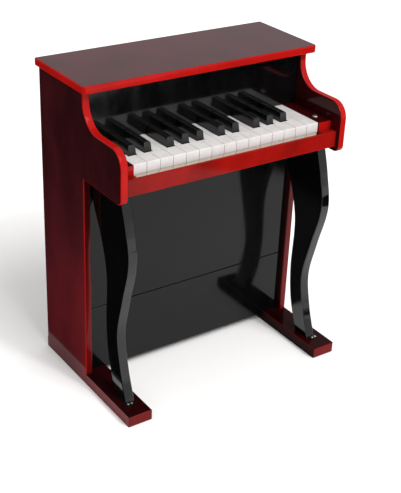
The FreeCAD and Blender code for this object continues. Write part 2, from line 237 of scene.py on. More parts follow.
# the gloss of the red parts: a thin clear coat with a little orange peel
def clearCoat(tree, shader, spot, stain, coat, coatRoughness):
    peel = grain(tree, spot, (1, 1, 1), redLook["peel"], 1.0)
    setShader(tree, shader, baseColor=stain, roughness=redLook["stainRoughness"], specularIORLevel=0.0,
              coatWeight=coat, coatRoughness=coatRoughness, coatIOR=1.5,
              coatNormal=bumpFrom(tree, peel, redLook["peelHeight"]))


# Mahogany stain under sprayed and polished clear lacquer: a deep, cloudy red with a sharp wet gloss on top.
def redLacquer(name, stops, coat, coatRoughness, stretch=(1, 1, 0.12)):
    material, tree, shader, spot = startMaterial(name)
    cloud = grain(tree, spot, (1, 1, 0.6), redLook["blotch"])
    lines = grain(tree, spot, stretch, redLook["grainWidth"], 2.0)
    both = addNode(tree, "ShaderNodeMath", {"operation": "MULTIPLY_ADD"}, {0: lines, 1: 0.25, 2: cloud})
    shade = addNode(tree, "ShaderNodeMath", {"operation": "SUBTRACT"}, {0: both.outputs[0], 1: 0.125})
    ramp = addNode(tree, "ShaderNodeValToRGB", inputs={"Fac": shade.outputs[0]}, stops=stops)
    clearCoat(tree, shader, spot, ramp.outputs["Color"], coat, coatRoughness)
    return material


gradeLook = {
    "dark": 0.40, "bright": 0.12,      # heights between which it turns from dark to warm
    "rear": 0.13, "nose": -0.12,       # places between which it warms towards the front
    "rearShare": 0.5, "noseShare": 1.2,
    "warmth": 0.75, "mottle": 0.7,
}


# The same lacquer on the side panels' broad faces and column strips, graded: nearly black-red at the top,
# warmer red low down, most of all towards the front. On the column strips this grading is painted shade,
# where the legs shade them.
def burstLacquer(name, stops, coat, coatRoughness):
    material, tree, shader, spot = startMaterial(name)
    axes = addNode(tree, "ShaderNodeSeparateXYZ", inputs={"Vector": spot})
    low = addNode(tree, "ShaderNodeMapRange", {"interpolation_type": "SMOOTHSTEP"}, {
        "Value": axes.outputs["Z"], "From Min": gradeLook["dark"], "From Max": gradeLook["bright"]})
    front = addNode(tree, "ShaderNodeMapRange", {"interpolation_type": "SMOOTHSTEP"}, {
        "Value": axes.outputs["Y"], "From Min": gradeLook["rear"], "From Max": gradeLook["nose"],
        "To Min": gradeLook["rearShare"], "To Max": gradeLook["noseShare"]})
    warm = addNode(tree, "ShaderNodeMath", {"operation": "MULTIPLY"}, {
        0: low.outputs[0], 1: front.outputs[0]})
    cloud = grain(tree, spot, (1, 1, 0.5), redLook["blotch"])
    lines = grain(tree, spot, (1, 1, 0.12), redLook["grainWidth"], 2.0)
    both = addNode(tree, "ShaderNodeMath", {"operation": "MULTIPLY_ADD"}, {0: lines, 1: 0.15, 2: cloud})
    mottle = addNode(tree, "ShaderNodeMath", {"operation": "MULTIPLY_ADD"}, {
        0: both.outputs[0], 1: gradeLook["mottle"], 2: -gradeLook["mottle"] / 2})
    total = addNode(tree, "ShaderNodeMath", {"operation": "MULTIPLY_ADD", "use_clamp": True}, {
        0: warm.outputs[0], 1: gradeLook["warmth"], 2: mottle.outputs[0]})
    ramp = addNode(tree, "ShaderNodeValToRGB", inputs={"Fac": total.outputs[0]}, stops=stops)
    clearCoat(tree, shader, spot, ramp.outputs["Color"], coat, coatRoughness)
    return material


# Black polyester lacquer over board, polished: a mirror-like black whose surface is very slightly wavy,
# so reflections wander, with faint wiping marks. level is how strongly it mirrors.
def blackLacquer(name, level):
    material, tree, shader, spot = startMaterial(name)
    wave = grain(tree, spot, (1, 1, 1), 0.045, 1.0)
    smear = grain(tree, spot, (1, 0.4, 0.4), 0.03)
    roughness = addNode(tree, "ShaderNodeMapRange", inputs={
        "Value": smear, "From Min": 0.3, "From Max": 0.7, "To Min": 0.05, "To Max": 0.13})
    tone = addNode(tree, "ShaderNodeValToRGB", inputs={"Fac": smear},
                   stops=[(0.3, "#050506"), (0.7, "#09090a")])
    setShader(tree, shader, baseColor=tone.outputs["Color"], roughness=roughness.outputs[0], IOR=1.5,
              specularIORLevel=level, normal=bumpFrom(tree, wave, 0.00008))
    return material


# Injection-moulded white ABS, polished tool: warm white, even, with a soft gloss and faint finger haze.
def whiteKeyPlastic():
    material, tree, shader, spot = startMaterial("whiteKeyPlastic")
    haze = grain(tree, spot, (1, 1, 1), 0.02)
    tone = addNode(tree, "ShaderNodeValToRGB", inputs={"Fac": haze},
                   stops=[(0.3, "#d3cfcd"), (0.7, "#dbd8d6")])
    roughness = addNode(tree, "ShaderNodeMapRange", inputs={
        "Value": haze, "From Min": 0.3, "From Max": 0.7, "To Min": 0.22, "To Max": 0.36})
    setShader(tree, shader, baseColor=tone.outputs["Color"], roughness=roughness.outputs[0], IOR=1.5)
    return material


# Injection-moulded black ABS with a fine satin tool finish: charcoal where it mirrors the room.
def blackKeyPlastic():
    material, tree, shader, spot = startMaterial("blackKeyPlastic")
    speck = grain(tree, spot, (1, 1, 1), 0.0012)
    haze = grain(tree, spot, (1, 0.3, 1), 0.012)
    tone = addNode(tree, "ShaderNodeValToRGB", inputs={"Fac": haze},
                   stops=[(0.3, "#040405"), (0.7, "#080809")])
    roughness = addNode(tree, "ShaderNodeMapRange", inputs={
        "Value": haze, "From Min": 0.3, "From Max": 0.7, "To Min": 0.16, "To Max": 0.28})
    setShader(tree, shader, baseColor=tone.outputs["Color"], roughness=roughness.outputs[0], IOR=1.5,
              normal=bumpFrom(tree, speck, 0.00002))
    return material


# Planed softwood and plywood, unfinished: pale tan with growth lines along the board and open pores.
def bareWood(name, stops, stretch):
    material, tree, shader, spot = startMaterial(name)
    lines = grain(tree, spot, stretch, 0.004, 6.0)
    tone = addNode(tree, "ShaderNodeValToRGB", inputs={"Fac": lines}, stops=stops)
    setShader(tree, shader, baseColor=tone.outputs["Color"], roughness=0.68, IOR=1.45,
              normal=bumpFrom(tree, lines, 0.0002))
    return material


# Thin plywood under one coat of satin black paint: the grain just shows as shallow lines.
def paintedBack():
    material, tree, shader, spot = startMaterial("paintedBack")
    lines = grain(tree, spot, (0.05, 1, 1), 0.004, 6.0)
    tone = addNode(tree, "ShaderNodeValToRGB", inputs={"Fac": lines},
                   stops=[(0.3, "#121211"), (0.7, "#1d1c1b")])
    setShader(tree, shader, baseColor=tone.outputs["Color"], roughness=0.48, IOR=1.48,
              normal=bumpFrom(tree, lines, 0.00015))
    return material


# Nickel-plated steel screws and plates: bright, slightly warm, with fine turning marks.
def nickelPlate():
    material, tree, shader, spot = startMaterial("nickelPlate")
    marks = grain(tree, spot, (1, 1, 1), 0.0008)
    roughness = addNode(tree, "ShaderNodeMapRange", inputs={
        "Value": marks, "From Min": 0.3, "From Max": 0.7, "To Min": 0.28, "To Max": 0.44})
    setShader(tree, shader, baseColor=colour("#c9c6c0"), metallic=1.0, roughness=roughness.outputs[0],
              normal=bumpFrom(tree, marks, 0.00001))
    return material


# Drawn steel rod: grey metal with draw lines along its length.
def drawnSteel():
    material, tree, shader, spot = startMaterial("drawnSteel")
    lines = grain(tree, spot, (1, 0.05, 1), 0.0006)
    tone = addNode(tree, "ShaderNodeValToRGB", inputs={"Fac": lines},
                   stops=[(0.3, "#8f9092"), (0.7, "#b9babb")])
    setShader(tree, shader, baseColor=tone.outputs["Color"], metallic=1.0, roughness=0.34,
              normal=bumpFrom(tree, lines, 0.00001))
    return material


# Sand-cast iron bar, painted grey-black: dull, with the pebbled skin of the mould.
def castIron():
    material, tree, shader, spot = startMaterial("castIron")
    pebble = grain(tree, spot, (1, 1, 1), 0.0012)
    tone = addNode(tree, "ShaderNodeValToRGB", inputs={"Fac": pebble},
                   stops=[(0.3, "#232426"), (0.7, "#313235")])
    setShader(tree, shader, baseColor=tone.outputs["Color"], roughness=0.6, IOR=1.5,
              normal=bumpFrom(tree, pebble, 0.0002))
    return material


# Pressed wool felt: matt and fuzzy, with clumps of fibre.
def woolFelt(name, stops):
    material, tree, shader, spot = startMaterial(name)
    fibres = grain(tree, spot, (1, 1, 1), 0.0015, 6.0)
    tone = addNode(tree, "ShaderNodeValToRGB", inputs={"Fac": fibres}, stops=stops)
    setShader(tree, shader, baseColor=tone.outputs["Color"], roughness=0.95, specularIORLevel=0.2,
              sheenWeight=0.4, sheenRoughness=0.5, normal=bumpFrom(tree, fibres, 0.0004))
    return material


edgeRed = redLacquer("edgeRedLacquer", [(0.3, "#980e0b"), (0.7, "#ae120e")], 0.28, 0.1)
slipRed = redLacquer("slipRedLacquer", [(0.3, "#700c09"), (0.7, "#92110c")], 0.28, 0.08, (0.12, 1, 1))
lidRed = redLacquer("lidRedLacquer", [(0.3, "#34060e"), (0.7, "#450a17")], 0.63, 0.1, (0.12, 1, 1))
# painted shade: near-black red for the foot rails' tops, bottoms and inner faces, standing in for the black
# legs they mirror
footShadeRed = redLacquer("footRedLacquer", [(0.3, "#1b0405"), (0.7, "#250607")], 0.15, 0.08, (1, 0.12, 1))
footEdgeRed = redLacquer("footEdgeLacquer", [(0.3, "#580b0b"), (0.7, "#660f0e")], 0.3, 0.1)
# painted shade: a darker copy of the red lacquer for the side panels' inner faces and the key blocks' tops
# and sides, where the case shades them
paintedShadeRed = redLacquer("shadedRedLacquer", [(0.3, "#2a0606"), (0.7, "#360809")], 0.4, 0.08)
# painted sheen: the ramp's extra green and blue stand in for the pale sheen the side faces mirror
sideRed = burstLacquer("burstLacquer", [(0.0, "#290c0f"), (0.35, "#44151a"), (1.0, "#6d1d20")], 0.4, 0.1)
# painted shade: the column strips, darker overall and darkest high up, where the legs shade them
columnShadeRed = burstLacquer("columnLacquer", [(0.0, "#2a090a"), (0.35, "#460d0d"), (1.0, "#75110f")], 0.4, 0.1)
legBlack = blackLacquer("blackLegLacquer", 0.55)
nameBlack = blackLacquer("blackNameLacquer", 0.5)
panelBlack = blackLacquer("blackBoardLacquer", 0.26)   # the lower panels carry a thinner, duller coat
whitePlastic = whiteKeyPlastic()
blackPlastic = blackKeyPlastic()
stickWood = bareWood("keyStickBirch", [(0.3, "#c9bda9"), (0.7, "#ddd3c1")], (1, 0.06, 1))
boardWood = bareWood("plainPine", [(0.3, "#b58f60"), (0.7, "#d0ab79")], (0.06, 1, 1))
backPaint = paintedBack()
nickel = nickelPlate()
steel = drawnSteel()
iron = castIron()
redFelt = woolFelt("redFelt", [(0.3, "#4c0d12"), (0.7, "#6b1319")])
hammerFelt = woolFelt("whiteFelt", [(0.3, "#c9c3b5"), (0.7, "#e0dccf")])
print("materials:", len(bpy.data.materials))


def dress(piece, *materials, choose=None):
    # choose(middle, normal) gives the material's place in the list for each face
    for material in materials:
        piece.data.materials.append(material)
    if choose:
        for face in piece.data.polygons:
            face.material_index = choose(face.center, face.normal)


# ---- case boards ----

sidePanel = {
    "armUnder": 0.356, "armTop": 0.4355,     # heights above the floor
    "column": 0.132,                         # depth, front to back
    "throatRadius": 0.040, "shoulderRadius": 0.026, "chinRadius": 0.010,
    "edge": 0.002,
}


def makeSidePanel(name, node):
    low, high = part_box(node)
    yColumn = high.y - sidePanel["column"]
    zUnder, zTop = sidePanel["armUnder"], sidePanel["armTop"]
    panel = startBox(name, (low.x, yColumn, low.z), high)
    cutAt(z=zUnder)
    cutAt(z=zTop)
    pickFaces(panel, lambda at, normal: normal.y < -0.9 and zUnder < at.z < zTop)
    extrudeBy(y=low.y - yColumn)
    tidyFaces()

    def corner(y, z):
        return lambda at, along: abs(along.x) > 0.9 and abs(at.y - y) < 1e-4 and abs(at.z - z) < 1e-4

    for y, z, radius, steps in ((yColumn, zTop, sidePanel["throatRadius"], 18),
                                (low.y, zTop, sidePanel["shoulderRadius"], 16),
                                (low.y, zUnder, sidePanel["chinRadius"], 8)):
        pickEdges(panel, corner(y, z))
        bevelPicked(radius, steps)

    def outline(at, along):
        between = low.z + 0.001 < at.z < high.z - 0.001
        return abs(along.x) < 0.1 and between
    pickEdges(panel, outline, 60)
    bevelPicked(sidePanel["edge"], 4)
    closePiece(panel)
    outward = 1 if low.x > 0 else -1

    # painted shade: inner faces take the darker painted-shade red, and the column strips take the column's
    # painted shade
    def finish(at, normal):
        if normal.x * outward > 0.95:
            return 0
        if normal.x * outward < -0.3:
            return 2
        return 3 if normal.y < -0.9 and at.z < zUnder else 1
    dress(panel, sideRed, edgeRed, paintedShadeRed, columnShadeRed, choose=finish)
    return place(panel, "case", "red_lacquer", node)


makeSidePanel("sidePanelBass", "bass_side_panel")
makeSidePanel("sidePanelTreble", "treble_side_panel")

lidShape = {"corner": 0.006, "edge": 0.002}


def makeLid():
    low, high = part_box("lid")
    board = startBox("lidBoard", low, high)
    pickEdges(board, lambda at, along: abs(along.z) > 0.9 and at.y < low.y + 0.001)
    bevelPicked(lidShape["corner"], 8)
    pickEdges(board, lambda at, along: abs(along.z) < 0.1 or at.y > high.y - 0.001, 60)
    bevelPicked(lidShape["edge"], 4)
    closePiece(board)
    dress(board, lidRed, edgeRed, choose=lambda at, normal: 0 if abs(normal.z) > 0.95 else 1)
    return place(board, "case", "red_lacquer", "lid")


makeLid()

footShape = {"edge": 0.002}


def makeFootRail(name, node, inward):
    # inward is the way to the piano's middle along X
    low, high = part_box(node)
    rail = startBox(name, low, high)

    xInner = high.x if inward > 0 else low.x

    def rounded(at, along):
        innerTop = abs(along.y) > 0.9 and at.z > high.z - 0.001 and abs(at.x - xInner) < 0.001
        return at.y < low.y + 0.001 or innerTop
    pickEdges(rail, rounded)
    bevelPicked(footShape["edge"], 4)
    closePiece(rail)

    # tops, bottoms and inner faces take the painted-shade red, outer faces the side panels' red, and the
    # rest the edge red
    def finish(at, normal):
        if normal.x * inward < -0.95:
            return 2
        return 0 if abs(normal.z) > 0.95 or normal.x * inward > 0.95 else 1
    dress(rail, footShadeRed, footEdgeRed, sideRed, choose=finish)
    return place(rail, "case", "red_lacquer", node)


makeFootRail("footRailBass", "bass_foot_rail", 1)
makeFootRail("footRailTreble", "treble_foot_rail", -1)

legShape = {
    # share of the leg's height, distance ahead of the side panel's column
    "front": [(0.0, 0.098), (0.14, 0.081), (0.31, 0.0705), (0.5, 0.0845), (0.71, 0.102), (0.88, 0.0915),
              (1.0, 0.079)],
    "back": [(0.0, 0.066), (0.15, 0.0475), (0.32, 0.0395), (0.58, 0.040), (0.74, 0.025), (0.88, 0.002),
             (1.0, -0.006)],
    "steps": 40,
    "edge": 0.0015,
}


def smoothThrough(points, share):
    # smooth curve through the points, by the slope at each one
    slopes = []
    for i in range(len(points)):
        before, after = points[max(i - 1, 0)], points[min(i + 1, len(points) - 1)]
        slopes.append((after[1] - before[1]) / (after[0] - before[0]))
    for i in range(len(points) - 1):
        (s0, v0), (s1, v1) = points[i], points[i + 1]
        if share <= s1 or i == len(points) - 2:
            span = s1 - s0
            t = (share - s0) / span
            return ((2 * t ** 3 - 3 * t ** 2 + 1) * v0 + (t ** 3 - 2 * t ** 2 + t) * span * slopes[i]
                    + (3 * t ** 2 - 2 * t ** 3) * v1 + (t ** 3 - t ** 2) * span * slopes[i + 1])


def makeLeg(name, node):
    low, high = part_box(node)
    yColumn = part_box("bass_side_panel")[1].y - sidePanel["column"]
    height = high.z - low.z

    def section(share):
        front = yColumn - smoothThrough(legShape["front"], share)
        back = yColumn - smoothThrough(legShape["back"], share)
        return front, back

    front, back = section(0)
    bpy.ops.object.select_all(action="DESELECT")
    bpy.ops.mesh.primitive_plane_add(size=1, location=((low.x + high.x) / 2, (front + back) / 2, low.z))
    bpy.context.object.scale = (high.x - low.x, back - front, 1)
    leg = openPiece(name)
    bpy.ops.mesh.select_all(action="SELECT")
    rise = height / legShape["steps"]
    for step in range(legShape["steps"]):
        nextFront, nextBack = section((step + 1) / legShape["steps"])
        middle = (nextFront + nextBack) / 2
        extrudeBy(y=middle - (front + back) / 2, z=rise)
        bpy.ops.transform.resize(value=(1, (nextBack - nextFront) / (back - front), 1),
                                 center_override=(0, middle, low.z + rise * (step + 1)))
        front, back = nextFront, nextBack
    bpy.ops.mesh.select_all(action="SELECT")
    bpy.ops.mesh.normals_make_consistent(inside=False)
    pickEdges(leg, lambda at, along: abs(along.x) < 0.1 and low.z + 0.001 < at.z < high.z - 0.001, 60)
    bevelPicked(legShape["edge"], 3)
    closePiece(leg)
    dress(leg, legBlack)
    return place(leg, "case", "black_lacquer", node)


makeLeg("legBass", "bass_leg")
makeLeg("legTreble", "treble_leg")
print("case sides, lid, feet and legs done")

boardShape = {"edge": 0.0008}


def makeBoard(name, node, material, slot, edge=boardShape["edge"]):
    low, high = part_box(node)
    board = startBox(name, low, high)
    pickEdges(board, anyEdge)
    bevelPicked(edge, 3)
    closePiece(board)
    dress(board, material)
    return place(board, "case", slot, node)


makeBoard("nameBoard", "name_board", nameBlack, "black_lacquer")
makeBoard("kneeBoard", "knee_board", panelBlack, "black_lacquer")
makeBoard("backPanel", "back_panel", backPaint, "back_board", 0.0005)

kickShape = {"edge": 0.0008}


def makeKickBoard():
    low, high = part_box("kick_board")
    railLow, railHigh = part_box("treble_foot_rail")
    xRail, zRail = railLow.x, railHigh.z
    board = startBox("kickBoard", (low.x, low.y, zRail), high)
    cutAt(x=-xRail)
    cutAt(x=xRail)
    pickFaces(board, lambda at, normal: normal.z < -0.9 and abs(at.x) < xRail)
    extrudeBy(z=low.z - zRail)
    tidyFaces()
    pickEdges(board, anyEdge)
    bevelPicked(kickShape["edge"], 3)
    closePiece(board)
    dress(board, panelBlack)
    return place(board, "case", "black_lacquer", "kick_board")


makeKickBoard()

slipShape = {"lip": 0.0035, "rebate": 0.014, "endGap": 0.001, "edge": 0.001}


def makeKeySlip():
    low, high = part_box("key_slip")
    x0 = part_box("bass_key_block")[1].x - slipShape["endGap"]
    x1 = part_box("treble_key_block")[0].x + slipShape["endGap"]
    zRebate = high.z - slipShape["rebate"]
    board = startBox("keySlip", low, (high.x, low.y + slipShape["lip"], high.z))
    cutAt(x=x0)
    cutAt(x=x1)
    cutAt(z=zRebate)
    pickFaces(board, lambda at, normal: normal.y > 0.9 and not (x0 < at.x < x1 and at.z > zRebate))
    extrudeBy(y=high.y - low.y - slipShape["lip"])
    tidyFaces()
    pickEdges(board, lambda at, along: abs(along.x) > 0.9 and
              (at.z > high.z - 1e-4 or at.z < low.z + 1e-4))
    bevelPicked(slipShape["edge"], 3)
    closePiece(board)
    dress(board, slipRed)
    return place(board, "case", "red_lacquer", "key_slip")


makeKeySlip()

blockShape = {"edge": 0.001}


def makeKeyBlock(name, node):
    low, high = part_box(node)
    block = startBox(name, low, high)
    pickEdges(block, lambda at, along: at.z > high.z - 1e-4 or (at.y < low.y + 1e-4 and abs(along.z) > 0.9))
    bevelPicked(blockShape["edge"], 3)
    closePiece(block)
    # painted shade: the blocks' tops and sides take the darker red, and the front takes the edge red
    dress(block, paintedShadeRed, edgeRed, choose=lambda at, normal: int(normal.y < -0.9))
    return place(block, "case", "red_lacquer", node)


makeKeyBlock("keyBlockBass", "bass_key_block")
makeKeyBlock("keyBlockTreble", "treble_key_block")
print("boards done")

# ---- keys ----

keyShape = {
    "whitePitch": 0.022, "gap": 0.0006,
    "notes": ["c", "c_sharp", "d", "d_sharp", "e", "f", "f_sharp", "g", "g_sharp", "a", "a_sharp", "b"],
    "cap": 0.0025, "lip": 0.0148, "stickRecess": 0.001,
    "stickHeight": 0.020, "tailGap": 0.0016,
    "tailShift": 0.0022,       # tails sit this far towards the bass from even spacing
    "blackWidth": 0.0136, "blackTopWidth": 0.011, "blackSetback": 0.031, "blackRise": 0.014,
    "blackSlope": 0.002, "blackChamfer": 0.0016, "blackEndGap": 0.0008, "whiteEndPast": 0.0045,
    "blackStickFront": 0.02, "slotSide": 0.0007, "slotFront": 0.0018,
    "frontEdge": 0.0007, "edge": 0.00015, "blackEdge": 0.0004, "stickEdge": 0.0004,
    "shankRadius": 0.0022, "shank": 0.007, "headRadius": 0.004, "head": 0.004,
}
keyNodes = sorted(node for node in frame["nodes"] if node[:4] == "key_" and node[4:6].isdigit())
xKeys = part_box("bass_key_block")[1].x
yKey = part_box(keyNodes[0])[0].y
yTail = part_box(keyNodes[0])[1].y
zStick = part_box(keyNodes[0])[0].z
zStickTop = zStick + keyShape["stickHeight"]
zWhite = zStickTop + keyShape["cap"]
yBlack = yKey + keyShape["blackSetback"]
yShoulder = yBlack - keyShape["slotFront"]
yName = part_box("name_board")[0].y
semitone = 7 * keyShape["whitePitch"] / len(keyShape["notes"])
tailWidth = semitone - keyShape["tailGap"]


def isBlack(index):
    return "sharp" in keyShape["notes"][index % len(keyShape["notes"])]


def whiteSpan(index):
    # left and right side of a white key, by how many whites stand before it
    before = sum(1 for other in range(index) if not isBlack(other))
    left = xKeys + before * keyShape["whitePitch"] + keyShape["gap"] / 2
    return left, left + keyShape["whitePitch"] - keyShape["gap"]


def keyCentre(index):
    return xKeys + (index + 0.5) * semitone - keyShape["tailShift"]


def makeHammer():
    # at x = 0; every key gets a copy
    yHammer = yTail - 2 * keyShape["headRadius"]
    foot = (0, yHammer, zStickTop)
    hammer = startCylinder("hammer", keyShape["shankRadius"], foot, keyShape["shank"], 20)
    top = zStickTop + keyShape["shank"]
    pickFaces(hammer, lambda at, normal: normal.z > 0.9)
    extrudeBy(z=0)
    wider = keyShape["headRadius"] / keyShape["shankRadius"]
    bpy.ops.transform.resize(value=(wider, wider, 1), center_override=(0, yHammer, top))
    extrudeBy(z=keyShape["head"])
    pickEdges(hammer, lambda at, along: at.z > top + keyShape["head"] - 1e-4, 60)
    bevelPicked(keyShape["head"] / 4, 3)
    closePiece(hammer)
    dress(hammer, stickWood, hammerFelt, choose=lambda at, normal: int(at.z > top - 1e-5))
    return hammer


def makeWhiteCap(x0, x1, rear0, rear1):
    yEnd = yName + keyShape["whiteEndPast"]
    cap = startBox("whiteCap", (x0, yKey, zStickTop), (x1, yShoulder, zWhite))
    for x in (rear0, rear1):
        if x0 + 1e-5 < x < x1 - 1e-5:
            cutAt(x=x)
    pickFaces(cap, lambda at, normal: normal.y > 0.9 and rear0 < at.x < rear1)
    extrudeBy(y=yEnd - yShoulder)
    cutAt(y=yKey + keyShape["cap"])
    pickFaces(cap, lambda at, normal: normal.z < -0.9 and at.y < yKey + keyShape["cap"])
    extrudeBy(z=zWhite - keyShape["lip"] - zStickTop)
    tidyFaces()
    pickEdges(cap, lambda at, along: abs(along.x) > 0.9 and at.y < yKey + 1e-4 and at.z > zWhite - 1e-4)
    bevelPicked(keyShape["frontEdge"], 4)
    pickEdges(cap, lambda at, along: at.z > zStickTop - 0.0005 or at.y < yKey + 1e-4, 45)
    bevelPicked(keyShape["edge"], 2)
    closePiece(cap)
    dress(cap, whitePlastic)
    return cap


def makeStick(x0, x1, tail0, tail1, isWhite):
    yFront = yKey + keyShape["cap"] if isWhite else yBlack
    yWide = yShoulder if isWhite else yBlack + keyShape["blackStickFront"]
    stick = startBox("stick", (x0, yFront, zStick), (x1, yWide, zStickTop))
    for x in (tail0, tail1):
        if x0 + 1e-5 < x < x1 - 1e-5:
            cutAt(x=x)
    pickFaces(stick, lambda at, normal: normal.y > 0.9 and tail0 < at.x < tail1)
    extrudeBy(y=yTail - yWide)
    if isWhite:
        zLip = zWhite - keyShape["lip"]
        cutAt(z=zLip)
        pickFaces(stick, lambda at, normal: normal.y < -0.9 and at.z < zLip)
        extrudeBy(y=keyShape["stickRecess"] - keyShape["cap"])
    tidyFaces()
    pickEdges(stick, lambda at, along: at.z < zStick + 1e-4, 60)
    bevelPicked(keyShape["stickEdge"], 2)
    closePiece(stick)
    dress(stick, stickWood)
    return stick


def makeBlackCap():
    # at x = 0; every black key gets a copy
    half = keyShape["blackWidth"] / 2
    yEnd = yName - keyShape["blackEndGap"]
    zTop = zWhite + keyShape["blackRise"]
    cap = startBox("blackCap", (-half, yBlack, zStickTop), (half, yEnd, zTop))
    pickFaces(cap, lambda at, normal: normal.z > 0.9)
    narrower = keyShape["blackTopWidth"] / keyShape["blackWidth"]
    shorter = 1 - keyShape["blackSlope"] / (yEnd - yBlack)
    bpy.ops.transform.resize(value=(narrower, shorter, 1), center_override=(0, yEnd, zTop))
    pickEdges(cap, lambda at, along: at.z > zTop - 1e-4 and at.y < yEnd - 1e-4)
    bevelPicked(keyShape["blackChamfer"], 1)
    pickEdges(cap, anyEdge, 25)
    bevelPicked(keyShape["blackEdge"], 2)
    closePiece(cap)
    dress(cap, blackPlastic)
    return cap


def makeKey(index, node):
    centre = keyCentre(index)
    aside = Vector((centre, 0, 0))
    if isBlack(index):
        parts = [copyPiece(blackCap, unturned, aside), copyPiece(blackStick, unturned, aside)]
    else:
        left, right = whiteSpan(index)
        tail0, tail1 = max(centre - tailWidth / 2, left), min(centre + tailWidth / 2, right)
        half = keyShape["blackWidth"] / 2 + keyShape["slotSide"]
        rear0 = keyCentre(index - 1) + half if index > 0 and isBlack(index - 1) else left
        rear1 = keyCentre(index + 1) - half if index + 1 < len(keyNodes) and isBlack(index + 1) else right
        parts = [makeWhiteCap(left, right, rear0, rear1), makeStick(left, right, tail0, tail1, True)]
    parts.append(copyPiece(hammer, unturned, aside))
    key = joinPieces(parts, "key" + node[4:6] + ("Black" if isBlack(index) else "White"))
    place(key, "key_" + node[4:6], "black_key" if isBlack(index) else "white_key", node)


unturned = Matrix.Identity(4)
hammer = makeHammer()
blackCap = makeBlackCap()
blackStick = makeStick(-tailWidth / 2, tailWidth / 2, -tailWidth / 2, tailWidth / 2, False)
for index, node in enumerate(keyNodes):
    makeKey(index, node)
for master in (hammer, blackCap, blackStick):
    bpy.data.objects.remove(master)
print("keys done:", len(keyNodes))

# ---- fixings ----

screwShape = {
    "radius": 0.0035, "blockRadius": 0.0046, "height": 0.0016,
    "slotWidth": 0.26, "slotLength": 1.2,    # shares of the head's radius
    "slotDepth": 0.0009, "shankRadius": 0.00175, "shank": 0.006,
    "blockTurn": 20,                         # degrees, how the key blocks' screws came to rest
    "backFirst": 0.030, "backLast": 0.030,   # back screws above the feet, below the key bed
    "backRows": 3,                           # up to the key bed; one more row is above it
}


def makeScrewHead(radius):
    # one cross-headed screw at the origin, head up
    head = startCylinder("screwHead", radius, (0, 0, 0), screwShape["height"], 48)
    pickEdges(head, lambda at, along: at.z > screwShape["height"] - 1e-5, 60)
    bevelPicked(screwShape["height"] * 0.8, 6)
    pickFaces(head, lambda at, normal: normal.z < -0.9)
    extrudeBy(z=0)
    narrower = screwShape["shankRadius"] / radius
    bpy.ops.transform.resize(value=(narrower, narrower, 1), center_override=(0, 0, 0))
    extrudeBy(z=-screwShape["shank"])
    bpy.ops.object.mode_set(mode="OBJECT")
    half, width = radius * screwShape["slotLength"] / 2, radius * screwShape["slotWidth"] / 2
    floor = screwShape["height"] - screwShape["slotDepth"]
    cutters = []
    for x, y in ((half, width), (width, half)):
        cutter = startBox("cutter", (-x, -y, floor), (x, y, screwShape["height"] + 0.001))
        bpy.ops.object.mode_set(mode="OBJECT")
        cutters.append(cutter)
    bpy.ops.object.select_all(action="DESELECT")
    head.select_set(True)
    bpy.context.view_layer.objects.active = head
    for cutter in cutters:
        cut = head.modifiers.new("crossSlot", "BOOLEAN")
        cut.object = cutter
        cut.operation = "DIFFERENCE"
        cut.solver = "EXACT"
        bpy.ops.object.modifier_apply(modifier=cut.name)
    for cutter in cutters:
        bpy.data.objects.remove(cutter)
    bpy.ops.object.mode_set(mode="EDIT")
    closePiece(head)
    dress(head, nickel)
    return head


masterScrew = makeScrewHead(screwShape["radius"])
blockScrew = makeScrewHead(screwShape["blockRadius"])


def screwsAt(name, node, master, spots, turn):
    copies = [copyPiece(master, turn, spot) for spot in spots]
    return place(joinPieces(copies, name), "case", "screw_steel", node)


def middleX(node):
    low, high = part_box(node)
    return (low.x + high.x) / 2


low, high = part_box("key_block_screws")
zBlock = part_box("bass_key_block")[1].z
blockSpots = [Vector((middleX(node), (low.y + high.y) / 2, zBlock)) for node in
              ("bass_key_block", "treble_key_block")]
screwsAt("keyBlockScrews", "key_block_screws", blockScrew, blockSpots,
         Matrix.Rotation(math.radians(screwShape["blockTurn"]), 4, "Z"))

low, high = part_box("back_panel_screws")
radius = screwShape["radius"]
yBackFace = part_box("back_panel")[1].y
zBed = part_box("key_bed")[0].z
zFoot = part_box("bass_foot_rail")[1].z
zFirst, zLast = zFoot + screwShape["backFirst"], zBed - screwShape["backLast"]
rowGap = (zLast - zFirst) / (screwShape["backRows"] - 1)
rows = [zFirst + rowGap * row for row in range(screwShape["backRows"])] + [high.z - radius]
spots = [Vector((x, yBackFace, z)) for z in rows for x in (low.x + radius, high.x - radius)]
screwsAt("backPanelScrews", "back_panel_screws", masterScrew, spots,
         Matrix.Rotation(math.radians(-90), 4, "X"))

plateShape = {
    "inside": 0.004, "outside": 0.010,    # sideways reach from the leg's middle
    "thickness": 0.0012, "corner": 0.001,
    "headRadius": 0.0018, "headHeight": 0.001, "apart": 0.006,
    "headSetback": 0.0045,                # heads ahead of the leg's toe
}


